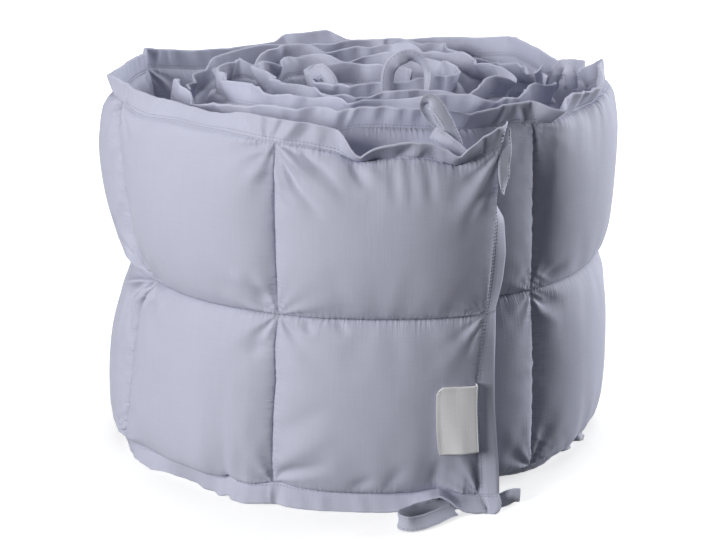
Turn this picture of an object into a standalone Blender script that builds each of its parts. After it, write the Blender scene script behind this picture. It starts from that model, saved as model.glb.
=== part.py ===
"""A crib bumper: a long padded strip, quilted in two rows of pockets, with a flat stitched flange all round.

It is rolled up and stands on its long edge. Narrow tapes are sewn into the flange, and a blank label into the
end seam. Metres, +Z up. The open end of the strip is at the front (-Y), a little to the right (+X).
"""

import bpy
import numpy as np

# The strip as it is cut and sewn
STRIP_HEIGHT = 0.300
FLANGE = 0.020
END_FLANGE = 0.016  # at the two short ends
FIRST_POCKET_WIDTH = 0.158
POCKET_WIDTH = 0.1648
POCKETS = 22
SEAM_HALF_THICKNESS = 0.0015
FLANGE_HALF_THICKNESS = 0.0012
OUTER_SWELL = 0.0155  # how far a pocket's middle stands out from its seams on the outer face
INNER_SWELL = 0.0145  # and on the inner face
UPPER_SWELL = 0.0045  # the outermost turn's upper row has nothing outside it and swells more

# The roll
OUTER_RADIUS = 0.2108  # of the strip's middle layer, at its outer end
TURN_PITCH = 0.0374  # from one turn to the next
CORE_RADIUS = 0.030
END_ANGLE = 33.4  # degrees from the front towards +X, where the outer end lies
HINGE_SHARE = 0.43  # how much of the outermost turn's bend lies at the cross seams
HINGE_WIDTH = 0.010
OVAL = 0.0143  # the roll is this much wider than round along OVAL_ANGLE
OVAL_ANGLE = 62.0
FOOT_SPREAD = 0.006  # how far the outer turn's foot stands out past its middle seam
TOP_SPREAD = 0.003  # and its top seam
END_ASKEW = 0.012  # the outer end hangs askew: its foot lies this much further back along the roll
ASKEW_REACH = 0.080
END_CURL = 75  # degrees that the outer end's flange is turned outward at the foot
CURL_HEIGHT = 0.070
PLAN_SHIFT = (-0.0021, 0.0058)  # puts the middle of the roll and its ties over the origin

# Where the top flange leans away from upright: place along the strip, half-width of the fold, lean in degrees
FLANGE_FOLDS = (
    {"at": 0.095, "reach": 0.055, "lean": 48},
    {"at": 0.330, "reach": 0.030, "lean": 20},
    {"at": 0.560, "reach": 0.060, "lean": -28},
    {"at": 0.790, "reach": 0.050, "lean": 22},
    {"at": 1.060, "reach": 0.040, "lean": -36},
    {"at": 1.420, "reach": 0.060, "lean": 24},
    {"at": 1.700, "reach": 0.050, "lean": -42},
    {"at": 1.980, "reach": 0.050, "lean": 38},
    {"at": 2.300, "reach": 0.060, "lean": -34},
    {"at": 2.640, "reach": 0.050, "lean": 40},
    {"at": 3.000, "reach": 0.050, "lean": -38},
    {"at": 3.350, "reach": 0.040, "lean": 30},
)

# Where the top seam sags: place along the strip, half-width, and drop
TOP_SAGS = (
    {"at": 0.060, "reach": 0.028, "drop": 0.009},
    {"at": 0.125, "reach": 0.030, "drop": 0.007},
    {"at": 0.800, "reach": 0.110, "drop": 0.008},
)

# The ties, each by the points of its route: place along the strip, distance outward from its middle layer,
# height. "facing" is how far its face is turned from the outward direction, in degrees, at each end.
TAPE_WIDTH = 0.011
TAPE_THICKNESS = 0.0012
TIES = (
    {
        "name": "tie_end_loop",
        "route": (
            (0.036, -0.0090, 0.280),
            (0.042, -0.0130, 0.295),
            (0.052, -0.0170, 0.307),
            (0.063, -0.0190, 0.311),
            (0.070, -0.0205, 0.302),
            (0.068, -0.0205, 0.289),
            (0.060, -0.0195, 0.277),
        ),
        "facing": (5, 60),
    },
    {
        "name": "tie_end_flap",
        "route": (
            (0.036, -0.0030, 0.281),
            (0.042, -0.0035, 0.289),
            (0.050, -0.0045, 0.2955),
            (0.058, -0.0065, 0.2955),
            (0.062, -0.0095, 0.289),
            (0.064, -0.0120, 0.281),
        ),
        "facing": (0, 10),
    },
    {
        "name": "tie_end_corner",
        "route": (
            (0.009, 0.0085, 0.291),
            (0.011, 0.0095, 0.281),
            (0.013, 0.0110, 0.266),
            (0.014, 0.0120, 0.252),
            (0.016, 0.0130, 0.238),
        ),
        "facing": (12, 22),
    },
    {
        "name": "tie_foot_front",
        "route": (
            (0.034, 0.0140, 0.0068),
            (0.044, 0.0160, 0.0068),
            (0.055, 0.0185, 0.0066),
            (0.066, 0.0220, 0.0064),
            (0.077, 0.0260, 0.0062),
            (0.088, 0.0300, 0.0062),
        ),
        "facing": (0, 30),
    },
    {
        "name": "tie_foot_back",
        "route": (
            (0.019, 0.0020, 0.0068),
            (0.010, 0.0010, 0.0068),
            (0.000, 0.0015, 0.0066),
            (-0.009, 0.0040, 0.0064),
        ),
        "facing": (5, -15),
    },
    {
        "name": "tie_core_arch",
        "route": (
            (3.446, 0.0040, 0.286),
            (3.444, 0.0060, 0.303),
            (3.436, 0.0075, 0.315),
            (3.422, 0.0090, 0.319),
            (3.410, 0.0105, 0.312),
            (3.403, 0.0120, 0.298),
            (3.399, 0.0130, 0.283),
        ),
        "facing": (25, 35),
    },
    {
        "name": "tie_core_loop",
        "route": (
            (3.480, 0.0035, 0.284),
            (3.483, 0.0045, 0.296),
            (3.491, 0.0055, 0.302),
            (3.500, 0.0050, 0.296),
            (3.504, 0.0040, 0.284),
        ),
        "facing": (15, 30),
    },
    {
        "name": "tie_side_loop",
        "route": (
            (2.036, 0.0080, 0.284),
            (2.040, 0.0100, 0.298),
            (2.050, 0.0130, 0.306),
            (2.061, 0.0160, 0.302),
            (2.066, 0.0180, 0.291),
            (2.065, 0.0190, 0.279),
        ),
        "facing": (20, 40),
    },
    {
        "name": "tie_side_tail",
        "route": (
            (2.010, -0.0060, 0.282),
            (2.013, -0.0085, 0.294),
            (2.019, -0.0110, 0.302),
            (2.026, -0.0130, 0.299),
        ),
        "facing": (10, -30),
    },
)

# The label
LABEL_SIZE = (0.032, 0.056)
LABEL_FOOT = 0.043
LABEL_THICKNESS = 0.0008
CLEARANCE = 0.0012

STRIP_LENGTH = 2 * END_FLANGE + FIRST_POCKET_WIDTH + (POCKETS - 1) * POCKET_WIDTH
MIDDLE_SEAM = STRIP_HEIGHT / 2
TOP_SEAM = STRIP_HEIGHT - FLANGE
FINE_STEP = 0.001


def fresh_collection(name):
    """An empty scene with one new collection in it."""
    for leftover in list(bpy.data.objects):
        bpy.data.objects.remove(leftover, do_unlink=True)
    collection = bpy.data.collections.new(name)
    bpy.context.scene.collection.children.link(collection)
    return collection


def cloth_material(name, colour, roughness):
    """A matt woven cloth of one colour."""
    material = bpy.data.materials.new(name)
    material.use_nodes = True
    shader = material.node_tree.nodes["Principled BSDF"]
    shader.inputs["Base Color"].default_value = (*colour, 1.0)
    shader.inputs["Roughness"].default_value = roughness
    shader.inputs["Metallic"].default_value = 0.0
    return material


def cross_seams():
    """The places along the strip of the seams between pockets, the end seams among them."""
    first = END_FLANGE + FIRST_POCKET_WIDTH
    return np.concatenate([[END_FLANGE], first + POCKET_WIDTH * np.arange(POCKETS)])


def middle_line():
    """Places and bearings along the rolled strip, every FINE_STEP, seen from above.

    A plain spiral's radius at length s is sqrt(R^2 - pitch * s / pi). The bearing turns by s / radius, a share of
    it gathered in a bell curve at each cross seam, and the place is the running sum of the steps.
    """
    along = np.arange(0, STRIP_LENGTH + FINE_STEP, FINE_STEP)
    radius = np.sqrt(np.maximum(OUTER_RADIUS**2 - TURN_PITCH * along / np.pi, CORE_RADIUS**2))
    at_seams = np.exp(-(((along[:, None] - cross_seams()) / HINGE_WIDTH) ** 2) / 2).sum(axis=1)
    at_seams *= POCKET_WIDTH / (HINGE_WIDTH * np.sqrt(2 * np.pi))
    share = HINGE_SHARE * (radius / OUTER_RADIUS) ** 2
    bend = (1 - share + share * at_seams) / radius
    lead_in = np.arctan2(TURN_PITCH / (2 * np.pi), OUTER_RADIUS)
    bearing = np.radians(END_ANGLE) + lead_in - np.cumsum(bend) * FINE_STEP
    steps = np.stack([-np.cos(bearing), -np.sin(bearing)], axis=1) * FINE_STEP
    end = np.radians(END_ANGLE)
    start = OUTER_RADIUS * np.array([np.sin(end), -np.cos(end)])
    return along, start + np.cumsum(steps, axis=0), bearing


ALONG, PLACE, BEARING = middle_line()


def at_length(s):
    """The middle line's place and outward direction at length s, with the roll's oval worked in.

    Past the outer end (s below 0) the line runs straight on.
    """
    s = np.asarray(s, float)
    place = np.stack([np.interp(s, ALONG, PLACE[:, i]) for i in (0, 1)], axis=-1)
    bearing = np.interp(s, ALONG, BEARING)
    outward = np.stack([np.sin(bearing), -np.cos(bearing)], axis=-1)
    onward = np.stack([-np.cos(bearing), -np.sin(bearing)], axis=-1)
    place = place + onward * np.minimum(s, 0)[..., None]
    long_axis = np.array([np.sin(np.radians(OVAL_ANGLE)), -np.cos(np.radians(OVAL_ANGLE))])
    stretch = np.eye(2) * (1 - OVAL) + 2 * OVAL * np.outer(long_axis, long_axis)
    return place @ stretch + np.array(PLAN_SHIFT), outward


def dome(u):
    """0 at the seams (u = 0 and 1) and 1 in the middle, steep at the seams like a filled pocket."""
    return (1 - np.abs(2 * np.clip(u, 0, 1) - 1) ** 2.6) ** 0.62


def across_pockets(s):
    """How many pockets in from the outer end seam s lies."""
    past_first = s - END_FLANGE - FIRST_POCKET_WIDTH
    return np.where(past_first < 0, past_first / FIRST_POCKET_WIDTH, past_first / POCKET_WIDTH) + 1


def outermost(s):
    """1 at the outer end, falling to 0 one turn in."""
    return np.clip(1 - s / (2 * np.pi * OUTER_RADIUS), 0, 1)


def face_offset(s, z, side):
    """How far either face stands out from the middle layer, as a distance and not a direction."""
    across = across_pockets(s)
    low_row = (z - FLANGE) / (MIDDLE_SEAM - FLANGE)
    high_row = (z - MIDDLE_SEAM) / (TOP_SEAM - MIDDLE_SEAM)
    up_row = np.where(z < MIDDLE_SEAM, low_row, high_row)
    inside = (across > 0) & (across < POCKETS) & (z > FLANGE) & (z < TOP_SEAM)
    filled = np.where(inside, dome(across % 1.0) * dome(up_row), 0.0)
    rim = np.where((z < FLANGE) | (z > TOP_SEAM), FLANGE_HALF_THICKNESS, SEAM_HALF_THICKNESS)
    outer = OUTER_SWELL + UPPER_SWELL * outermost(s) * (z > MIDDLE_SEAM)
    swell = np.where(side > 0, outer, INNER_SWELL)
    return rim + swell * filled


def bells(s, rows, what):
    """The sum of a bell curve for each row: its height is row[what] at row["at"]."""
    return sum(row[what] * np.exp(-(((s - row["at"]) / row["reach"]) ** 2)) for row in rows)


def on_strip(s, z, side):
    """A point on the strip's face: side is +1 on the outer face and -1 on the inner one."""
    s, z, side = np.broadcast_arrays(np.asarray(s, float), np.asarray(z, float), np.asarray(side, float))
    low = np.clip(1 - z / MIDDLE_SEAM, 0, 1)
    high = np.clip((z - MIDDLE_SEAM) / (TOP_SEAM - MIDDLE_SEAM), 0, 1)
    past_seam = np.clip(END_FLANGE - s, 0, None)
    curl = np.radians(END_CURL) * np.clip(1 - z / CURL_HEIGHT, 0, 1)
    askew = END_ASKEW * (1 - z / STRIP_HEIGHT) * np.exp(-((s / ASKEW_REACH) ** 2))
    place, outward = at_length(np.maximum(s, END_FLANGE) + askew - past_seam * np.cos(curl))
    shift = outermost(s) * (FOOT_SPREAD * low + TOP_SPREAD * high) + past_seam * np.sin(curl)
    above = np.clip(z - TOP_SEAM, 0, None)
    lean = np.radians(bells(s, FLANGE_FOLDS, "lean")) * (above > 0)
    stand_out = side * face_offset(s, z, side)
    offset = stand_out * np.cos(lean) + shift + above * np.sin(lean)
    sag = bells(s, TOP_SAGS, "drop") * high**2
    height = np.minimum(z, TOP_SEAM) + above * np.cos(lean) - (above > 0) * stand_out * np.sin(lean) - sag
    return np.concatenate([place + outward * offset[..., None], height[..., None]], axis=-1)


def closed_grid(name, loops):
    """A solid from like loops of points, one after another, with a flat cap on the first and the last."""
    count, around = loops.shape[:2]
    index = np.arange(count * around).reshape(count, around)
    following = np.roll(index, -1, axis=1)
    sides = np.stack([index[:-1], following[:-1], following[1:], index[1:]], axis=-1).reshape(-1, 4)
    faces = [tuple(face) for face in sides.tolist()]
    for row, turned in ((index[0], True), (index[-1], False)):
        for i in range(around // 2 - 1):
            cap = (row[i], row[i + 1], row[-2 - i], row[-1 - i])
            faces.append(tuple(int(corner) for corner in (cap[::-1] if turned else cap)))
    mesh = bpy.data.meshes.new(name)
    mesh.from_pydata(loops.reshape(-1, 3).tolist(), [], faces)
    mesh.update()
    return mesh


def add_object(collection, name, mesh, material):
    mesh.materials.append(material)
    obj = bpy.data.objects.new(name, mesh)
    collection.objects.link(obj)
    return obj


def quilted_strip(collection, material):
    """The strip: its section, up the outer face and down the inner one, carried along the rolled middle line."""
    in_pocket = np.array([0.0, 0.12, 0.32, 0.5, 0.68, 0.88])
    seams = cross_seams()
    stations = (seams[:-1, None] + np.diff(seams)[:, None] * in_pocket).ravel()
    stations = np.concatenate([[0.0], stations, [STRIP_LENGTH - END_FLANGE, STRIP_LENGTH]])
    up_row = np.array([0.12, 0.5, 0.88])
    lower = FLANGE + (MIDDLE_SEAM - FLANGE) * up_row
    upper = MIDDLE_SEAM + (TOP_SEAM - MIDDLE_SEAM) * up_row
    heights = np.concatenate([[0.0, FLANGE], lower, [MIDDLE_SEAM], upper, [TOP_SEAM, STRIP_HEIGHT]])
    around_z = np.concatenate([heights, heights[::-1]])
    around_side = np.concatenate([np.ones(len(heights)), -np.ones(len(heights))])
    loops = on_strip(stations[:, None], around_z[None, :], around_side[None, :])
    return add_object(collection, "quilted_strip", closed_grid("quilted_strip", loops), material)


def smooth_route(points, steps):
    """Points evenly spaced along a smooth curve through the given ones (Catmull-Rom)."""
    points = np.asarray(points, float)
    ends = np.concatenate([[2 * points[0] - points[1]], points, [2 * points[-1] - points[-2]]])
    t = np.linspace(0, len(points) - 1, 12 * steps)
    k = np.minimum(t.astype(int), len(points) - 2)
    u = (t - k)[:, None]
    a, b, c, d = (ends[k + i] for i in range(4))
    curve = b + 0.5 * u * (c - a + u * (2 * a - 5 * b + 4 * c - d + u * (3 * (b - c) + d - a)))
    length = np.concatenate([[0], np.cumsum(np.linalg.norm(np.diff(curve, axis=0), axis=1))])
    even = np.linspace(0, length[-1], steps)
    return np.stack([np.interp(even, length, curve[:, i]) for i in range(3)], axis=1)


def thin_sheet(collection, name, grid, thickness, material):
    """An open grid of points given its thickness, half on either side."""
    rows, columns = grid.shape[:2]
    index = np.arange(rows * columns).reshape(rows, columns)
    quads = np.stack([index[:-1, :-1], index[1:, :-1], index[1:, 1:], index[:-1, 1:]], axis=-1)
    mesh = bpy.data.meshes.new(name)
    mesh.from_pydata(grid.reshape(-1, 3).tolist(), [], quads.reshape(-1, 4).tolist())
    mesh.update()
    sheet = add_object(collection, name, mesh, material)
    wall = sheet.modifiers.new("cloth", "SOLIDIFY")
    wall.thickness = thickness
    wall.offset = 0.0
    return sheet


def tie(collection, row, material):
    """A flat tape along its route: its width is square to the route and to the way its face is turned."""
    route = np.array(row["route"])
    place, outward = at_length(route[:, 0])
    points = np.concatenate([place + outward * route[:, 1:2], route[:, 2:3]], axis=1)
    steps = 4 * len(points)
    points = smooth_route(points, steps)
    ahead = np.gradient(points, axis=0)
    ahead /= np.linalg.norm(ahead, axis=1, keepdims=True)
    _, outward = at_length(np.linspace(route[0, 0], route[-1, 0], steps))
    beside = np.stack([-outward[:, 1], outward[:, 0]], axis=1)
    turn = np.radians(np.linspace(*row["facing"], steps))[:, None]
    face = np.concatenate([outward * np.cos(turn) + beside * np.sin(turn), np.zeros((steps, 1))], axis=1)
    width = np.cross(ahead, face)
    width *= TAPE_WIDTH / np.linalg.norm(width, axis=1, keepdims=True)
    grid = points[:, None] + width[:, None] * np.array([-0.5, 0.5])[None, :, None]
    return thin_sheet(collection, row["name"], grid, TAPE_THICKNESS, material)


def label(collection, material):
    """The label: sewn into the outer end seam and lying on the lower pocket beside it."""
    s = END_FLANGE + CLEARANCE + np.linspace(0, LABEL_SIZE[0], 7)
    z = LABEL_FOOT + np.linspace(0, LABEL_SIZE[1], 7)
    grid = on_strip(s[:, None], z[None, :], 1.0)
    _, outward = at_length(s)
    grid[..., :2] += outward[:, None] * (CLEARANCE + LABEL_THICKNESS / 2)
    return thin_sheet(collection, "label", grid, LABEL_THICKNESS, material)


def build():
    collection = fresh_collection("crib_bumper")
    sateen = cloth_material("sateen", (0.52, 0.53, 0.62), 0.75)
    tape = cloth_material("tape", (0.50, 0.51, 0.60), 0.80)
    woven_label = cloth_material("woven_label", (0.86, 0.85, 0.83), 0.85)
    quilted_strip(collection, sateen)
    for row in TIES:
        tie(collection, row, tape)
    label(collection, woven_label)


build()
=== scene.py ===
"""A crib bumper of pale grey-lavender cotton sateen, rolled up and standing on its long edge.

Made as it is sewn: the padded strip and its pockets, its stitching, the ties, and the label. Metres, +Z up.
"""

import math

import bpy
import numpy as np
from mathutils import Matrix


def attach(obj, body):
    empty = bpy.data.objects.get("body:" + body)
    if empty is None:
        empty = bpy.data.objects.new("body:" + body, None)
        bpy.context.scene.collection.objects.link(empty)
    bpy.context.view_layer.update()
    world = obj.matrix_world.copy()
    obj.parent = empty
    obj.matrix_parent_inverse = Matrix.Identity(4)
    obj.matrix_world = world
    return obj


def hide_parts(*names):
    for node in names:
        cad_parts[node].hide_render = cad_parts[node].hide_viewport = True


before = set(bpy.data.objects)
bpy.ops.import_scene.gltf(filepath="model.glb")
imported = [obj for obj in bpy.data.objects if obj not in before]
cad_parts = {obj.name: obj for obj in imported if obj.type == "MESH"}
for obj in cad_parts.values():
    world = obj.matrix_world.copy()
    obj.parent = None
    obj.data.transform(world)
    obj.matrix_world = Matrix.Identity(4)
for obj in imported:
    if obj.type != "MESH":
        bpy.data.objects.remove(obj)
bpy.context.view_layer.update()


# The table and the light: a wide pale top, a large soft window light from the front left, a weaker one from
# the right, and a dim sky. The camera stands 1.5 m in front and looks down a little.
CAMERA_PLACE = (0.0022, -1.5006, 0.5634)
CAMERA_PITCH = 16.065  # degrees down
FOCAL_PIXELS = 1900
PICTURE_WIDTH = 716
SENSOR_WIDTH = 36
TABLE_SIDE = 40.0
LIGHTS = (
    {
        "name": "window_left",
        "place": (-2.14, -2.01, 1.02),
        "size": 1.5,
        "power": 90.5,
        "tint": (1.0, 0.99, 0.98),
    },
    {
        "name": "window_right",
        "place": (2.42, 1.0, 0.7),
        "size": 1.2,
        "power": 66,
        "tint": (0.97, 0.98, 1.0),
    },
    {
        "name": "sky_panel",
        "place": (0.2, 0.6, 2.6),
        "size": 2.0,
        "power": 36,
        "tint": (0.98, 0.99, 1.0),
    },
)
SKY = (0.80, 0.85, 1.0)
SKY_STRENGTH = 0.075
TABLE_GLOW = (0.62, 0.95)  # the paper's own light, near the roll and from 1.2 m on, so it stays nearly white
TABLE_WHITE = 0.60

camera_data = bpy.data.cameras.new("camera")
camera_data.sensor_width = SENSOR_WIDTH
camera_data.lens = FOCAL_PIXELS / PICTURE_WIDTH * SENSOR_WIDTH
camera_data.clip_start = 0.05
camera = bpy.data.objects.new("camera", camera_data)
camera.location = CAMERA_PLACE
camera.rotation_euler = (math.radians(90 - CAMERA_PITCH), 0, 0)
bpy.context.scene.collection.objects.link(camera)
bpy.context.scene.camera = camera
bpy.context.scene.view_settings.view_transform = "Standard"

for row in LIGHTS:
    lamp = bpy.data.lights.new(row["name"], "AREA")
    lamp.shape = "DISK"
    lamp.size = row["size"]
    lamp.energy = row["power"]
    lamp.color = row["tint"]
    light = bpy.data.objects.new(row["name"], lamp)
    place = np.array(row["place"])
    aim = np.array((0.0, 0.0, 0.15)) - place
    light.location = row["place"]
    light.rotation_euler = (math.atan2(math.hypot(aim[0], aim[1]), -aim[2]), 0, math.atan2(-aim[0], aim[1]))
    bpy.context.scene.collection.objects.link(light)

sky = bpy.data.worlds.new("sky")
sky.use_nodes = True
sky.node_tree.nodes["Background"].inputs["Color"].default_value = (*SKY, 1)
sky.node_tree.nodes["Background"].inputs["Strength"].default_value = SKY_STRENGTH
bpy.context.scene.world = sky

half = TABLE_SIDE / 2
table_mesh = bpy.data.meshes.new("table_top")
corners = [(-half, -half, 0), (half, -half, 0), (half, half, 0), (-half, half, 0)]
table_mesh.from_pydata(corners, [], [(0, 1, 2, 3)])
table_top = bpy.data.objects.new("table_top", table_mesh)
table_top.visible_diffuse = False  # the dark side of the roll isn't lit up by it
bpy.context.scene.collection.objects.link(table_top)
paper = bpy.data.materials.new("white_paper")
paper.use_nodes = True
paper_shader = paper.node_tree.nodes["Principled BSDF"]
paper_shader.inputs["Base Color"].default_value = (TABLE_WHITE, TABLE_WHITE, TABLE_WHITE, 1)
paper_shader.inputs["Roughness"].default_value = 1.0
paper_shader.inputs["Specular IOR Level"].default_value = 0.0
paper_shader.inputs["Emission Color"].default_value = (1, 1, 1, 1)
paper_place = paper.node_tree.nodes.new("ShaderNodeTexCoord")
paper_distance = paper.node_tree.nodes.new("ShaderNodeVectorMath")
paper_distance.operation = "LENGTH"
paper.node_tree.links.new(paper_place.outputs["Object"], paper_distance.inputs[0])
paper_glow = paper.node_tree.nodes.new("ShaderNodeMapRange")
paper_glow.inputs["From Min"].default_value = 0.4
paper_glow.inputs["From Max"].default_value = 1.2
paper_glow.inputs["To Min"].default_value = TABLE_GLOW[0]
paper_glow.inputs["To Max"].default_value = TABLE_GLOW[1]
paper.node_tree.links.new(paper_distance.outputs["Value"], paper_glow.inputs["Value"])
paper.node_tree.links.new(paper_glow.outputs[0], paper_shader.inputs["Emission Strength"])
table_mesh.materials.append(paper)


# The padded strip: two panels of cotton sateen with wadding between, sewn round with a flat flange and quilted
# into two rows of pockets. It is rolled up from one short end; the other end lies open at the front.
FOOT_FLANGE = 0.0175
TOP_SEAM = 0.280
STRIP_HEIGHT = 0.297
END_FLANGE = 0.016  # at the two short ends
FIRST_POCKET = 0.158
POCKET = 0.1648
POCKETS = 22
STRIP_LENGTH = 2 * END_FLANGE + FIRST_POCKET + (POCKETS - 1) * POCKET
MIDDLE_SEAM = 0.150
SEAM_HALF = 0.0013  # half the thickness at a seam
FLANGE_HALF = 0.0011
OUTER_SWELL = 0.0155
INNER_SWELL = 0.0145
DOME_POWER = 0.54  # 0.5 would stand square to the seam
SLACK_DOME_POWER = 0.95  # a pocket that is only half filled towards a seam
SLACK_HALVES = (0, 13)  # counted in half pockets from the outer end: at the end seam, and at the right corner
OVERHANG = 0.34  # how far a filled pocket bulges past its seams, as a share of its swell there
OVERHANG_REACH = 0.016
END_OVERHANG = -0.4  # this much more or less past the end seam
SAG = 0.84  # below 1 the lower row's fill has sunk towards the foot
UPPER_SWELL = 0.0045  # the outermost turn's upper row swells this much more

OUTER_RADIUS = 0.2108
TURN_PITCH = 0.0374
CORE_RADIUS = 0.030
END_ANGLE = 33.4  # degrees from the front towards +X, where the outer end lies
HINGE_SHARE = 0.43  # how much of the outermost turn's bend lies at the cross seams
HINGE_WIDTH = 0.010
OVAL = 0.0143
OVAL_ANGLE = 62.0
PLAN_SHIFT = (-0.0021, 0.0058)
TOP_SPREAD = 0.003
END_ASKEW = 0.012
LABEL_PULL = 0.0072  # further in again beside the label
ASKEW_REACH = 0.080
FINE_STEP = 0.001

# How the top of the strip runs, in millimetres and degrees: place along it, height of its top seam, how far the
# seam is pushed outward, and how far the flange above it leans outward
TOP_LINE = (
    (0, 274, 0, 10),
    (18, 272, 0, 6),
    (34, 266, 0, 26),
    (48, 262.5, 0, 60),
    (58, 265.5, 0, 46),
    (70, 268.5, 0, 36),
    (86, 269, 0, 42),
    (104, 268, 0, 50),
    (115, 266, 0, 72),
    (121, 267.5, 0, 50),
    (130, 272, 0, 2),
    (150, 276, 0, -4),
    (172, 278, 0, -2),
    (197, 279.5, 0, -12),
    (216, 280, 0, -40),
    (238, 280, 0, -58),
    (268, 281, 0, -52),
    (301, 278.5, 0, -26),
    (318, 280, 0, -8),
    (334, 284, 0, 4),
    (348, 287, 3, 12),
    (360, 286.5, 4, 18),
    (376, 284, 2, 16),
    (420, 281, -3, 12),
    (470, 281, -3, 0),
    (492, 280, -2, -4),
    (506, 282, 4, 6),
    (514, 280.5, 2, -12),
    (560, 273, 0, 0),
    (600, 271.5, 0, -10),
    (630, 271, 0, 8),
    (648, 272, 0, 12),
    (657, 278, 0, 14),
    (672, 279, 0, -6),
    (694, 281, 0, 4),
    (712, 273, 0, -8),
    (741, 270.5, 0, 4),
    (795, 277, 0, 0),
    (832, 279, 0, -8),
    (862, 283, 0, 4),
    (872, 284, 2, -10),
    (903, 277, 0, 0),
    (932, 272, 0, -10),
    (945, 275, 0, 10),
    (972, 278, 0, 0),
    (979, 275, 0, -14),
    (983, 274, 0, -44),
    (988, 277, 0, -6),
    (1000, 282, 2, -4),
    (1016, 287, 5, -6),
    (1040, 287, 7, -20),
    (1060, 285, 6, 0),
    (1082, 282, 4, 34),
    (1104, 281, 1, 38),
    (1128, 281, 3, 20),
    (1140, 281, 5, 26),
    (1148, 279, 6, 58),
    (1155, 279, 4, 40),
    (1163, 280, 2, 12),
    (1180, 281, 0, 18),
    (1200, 280, 0, 28),
    (1222, 279, 0, 38),
    (1245, 280.5, 0, 22),
    (1290, 283, 0, 18),
    (1340, 281, 0, 10),
    (1400, 279, 0, 22),
    (1425, 277, 0, 34),
    (1440, 275, 2, 34),
    (1455, 277, 3, 10),
    (1488, 283, 2, -4),
    (1502, 281, -3, -10),
    (1512, 272, -10, -34),
    (1524, 266, -14, 6),
    (1548, 263, -13, -10),
    (1562, 264, -12, 14),
    (1578, 264, -11, -16),
    (1600, 266, -8, 4),
    (1622, 268, -6, -14),
    (1650, 273, -3, 4),
    (1700, 279, 0, -12),
    (1760, 277, 0, -24),
    (1820, 279, 0, -8),
    (1850, 277, -2, 10),
    (1864, 280, 4, 44),
    (1872, 276, 0, -6),
    (1900, 272, -4, -16),
    (1960, 272, -4, -22),
    (1990, 274, 0, -34),
    (2030, 272, 0, 8),
    (2060, 273, 2, 36),
    (2090, 276, 0, -16),
    (2130, 274, 0, 14),
    (2160, 279, 0, 36),
    (2200, 281, 0, 4),
    (2240, 278, 0, -18),
    (2262, 282, 2, 30),
    (2290, 279, 0, 8),
    (2330, 281, 0, 2),
    (2372, 283, 2, 0),
    (2396, 281, -2, 22),
    (2412, 283, 2, -10),
    (2430, 277, -6, 22),
    (2450, 280, -2, -18),
    (2470, 277, -5, 20),
    (2490, 281, -2, -12),
    (2510, 278, -4, 24),
    (2528, 270, -10, 34),
    (2545, 282, 4, -20),
    (2580, 281, 0, 20),
    (2600, 277, 0, -30),
    (2640, 279, 0, 10),
    (2670, 282, 2, 30),
    (2690, 276, 0, -20),
    (2720, 280, 0, 12),
    (2760, 277, 0, -36),
    (2800, 281, 0, 8),
    (2830, 277, 0, 38),
    (2860, 281, 0, -12),
    (2900, 276, 2, 34),
    (2930, 280, 0, -8),
    (2970, 276, -2, 20),
    (3000, 282, 2, 40),
    (3020, 277, 0, -14),
    (3060, 280, 0, 12),
    (3090, 275, -3, -30),
    (3110, 281, 2, 26),
    (3150, 278, 0, -10),
    (3190, 281, 0, 32),
    (3220, 276, 0, -24),
    (3260, 280, 0, 6),
    (3300, 277, 0, 36),
    (3330, 281, 0, -16),
    (3370, 276, 0, 20),
    (3410, 280, 0, -28),
    (3450, 277, 0, 14),
    (3490, 281, 2, 40),
    (3520, 276, 0, -10),
    (3560, 279, 0, 22),
    (3600, 276, 0, -14),
    (3660, 278, 0, 6),
)
# How the flange of the outer end curls at each height, in millimetres, by so many degrees towards the viewer
END_CURL = (
    (0, 34),
    (20, 26),
    (45, 12),
    (95, 0),
    (120, -12),
    (152, -30),
    (172, -20),
    (195, -18),
    (222, -32),
    (236, -66),
    (262, -72),
    (271, -62),
    (280, -54),
    (297, -46),
)
FOLD_ROUNDING = 0.0016
PUSH_DEPTH = 0.050  # how far down the cloth a push at the top is felt
# How the foot runs: place along the strip, height of the bottom seam, how far it is pushed outward, and how far
# the flange below it splays
FOOT_LINE = (
    (0, 11, 1, 50),
    (20, 10.5, 2, 54),
    (30, 12, 1, 56),
    (40, 14, -3, 74),
    (49, 15.5, -6, 86),
    (58, 15, -6, 78),
    (70, 14.5, -5, 52),
    (92, 14, -4, 36),
    (140, 14, -5, 34),
    (160, 15, -6, 36),
    (168, 16.5, -6, 26),
    (174, 16, -4, 32),
    (190, 14, 2, 38),
    (203, 15, 3, 34),
    (210, 18, 2, 20),
    (217, 15, 4, 24),
    (228, 16, 8, -10),
    (236, 16.5, 9, -2),
    (250, 16.5, 8, -16),
    (270, 16.5, 9, -17),
    (286, 15, 6, 4),
    (297, 14, 4, 30),
    (311, 14, 6, 16),
    (325, 14, 9, 2),
    (345, 12, 9, -20),
    (370, 10, 7, -44),
    (420, 9, 5, -58),
    (600, 10, 4, -46),
    (760, 9, 4, -56),
    (950, 9, 2, -50),
    (985, 9.5, 1, -40),
    (1056, 9, 0, -60),
    (1064, 11, 0, 16),
    (1080, 11, 0, 22),
    (1087, 9, 0, -56),
    (1096, 10, 0, 8),
    (1106, 9, 0, 2),
    (1112, 8, 1, -50),
    (1140, 7, 2, -30),
    (1166, 7, 2, -40),
    (1300, 9, 0, -60),
    (3660, 9, 0, -55),
)
# How far the middle seam is pushed outward and up, in millimetres, where the roll is pinched at its waist
WAIST_LINE = (
    (0, 0, 0),
    (250, 0, 0),
    (340, -5, 0),
    (400, -13, 3),
    (450, -17, 4),
    (520, -15, 3),
    (620, -8, 0),
    (760, -4, 0),
    (900, -6, 0),
    (1020, 0, 0),
    (3660, 0, 0),
)
WAIST_REACH = 0.052
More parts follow.
